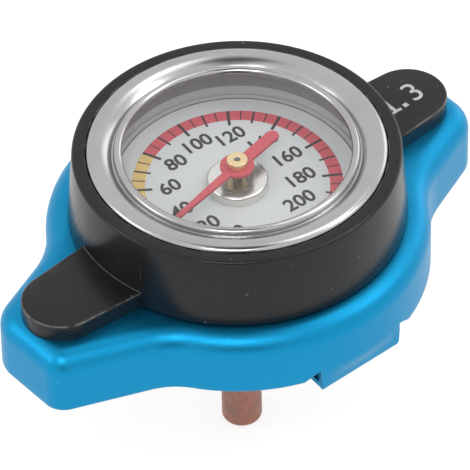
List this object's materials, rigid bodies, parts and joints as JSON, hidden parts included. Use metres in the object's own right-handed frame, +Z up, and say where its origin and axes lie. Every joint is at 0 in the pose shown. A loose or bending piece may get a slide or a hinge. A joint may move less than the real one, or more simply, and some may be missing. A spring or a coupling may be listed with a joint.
{
  "type": "radiator cap thermometer",
  "caption": "Pressure filler cap with a dial thermometer on top: pressed cover with two ears and bayonet lugs, round gauge, sprung pressure and vacuum valves, copper probe below.",
  "frame": {"origin": "on the probe's axis, in the plane where the neck gasket meets the rim of the filler neck", "axes": "+Z up along the probe's axis towards the dial, +X along the ears, so that the dial's numerals read upright with +Y at their top"},
  "size_m": [0.07, 0.0484, 0.0469],
  "materials": {
    "blue_metal": "satin metallic blue",
    "black_metal": "satin black",
    "bezel_steel": "polished",
    "lens_glass": "clear",
    "black_rubber": "matte",
    "can_steel": "satin",
    "dial_paint": "matte pale grey with a printed scale",
    "nickel": "polished nickel",
    "copper": "dull copper",
    "brass": "turned",
    "hub_brass": "polished",
    "bimetal": "rolled strip",
    "spindle_steel": "drawn",
    "pointer_paint": "satin red",
    "spring_steel": "drawn",
    "valve_brass": "pressed, passivated"
  },
  "bodies": {
    "cap": {"cap_cover": "blue_metal", "gauge_housing": "black_metal", "stem_seal": "black_rubber", "bezel_ring": "bezel_steel", "lens": "lens_glass", "lens_seal": "black_rubber", "gauge_can": "can_steel", "dial_plate": "dial_paint", "dial_collar": "nickel", "stem_bush": "brass", "probe_tube": "copper", "guide_bush": "brass", "coil_anchor": "brass", "bimetal_coil": "bimetal", "clamp_washer": "spring_steel", "clamp_nut": "brass", "diaphragm": "spring_steel", "neck_gasket": "black_rubber", "spring_cage": "valve_brass", "pressure_spring": "spring_steel"},
    "pointer": {"pointer": "pointer_paint", "pointer_hub": "hub_brass", "spindle": "spindle_steel", "coil_collar": "brass"},
    "pressure_valve": {"valve_carrier": "valve_brass", "pressure_plate": "valve_brass", "pressure_seal": "black_rubber", "vacuum_spring": "spring_steel"},
    "vacuum_valve": {"vacuum_valve": "valve_brass", "probe_seal": "black_rubber", "vacuum_clip": "spring_steel"}
  },
  "joints": [
    {"name": "pointer_turn", "type": "hinge", "parent": "cap", "child": "pointer", "pos_m": [0, 0, 0.01], "axis": [0, 0, -1], "range_deg": [-40.9, 253.1], "stiffness_Nm_per_rad": 0.00001},
    {"name": "pressure_lift", "type": "slide", "parent": "cap", "child": "pressure_valve", "axis": [0, 0, 1], "range_m": [0, 0.0022], "stiffness_N_per_m": 6000, "deforming": ["pressure_spring"]},
    {"name": "vacuum_drop", "type": "slide", "parent": "pressure_valve", "child": "vacuum_valve", "axis": [0, 0, -1], "range_m": [0, 0.0012], "stiffness_N_per_m": 400, "springref_m": -0.0001, "deforming": ["vacuum_spring"]}
  ]
}
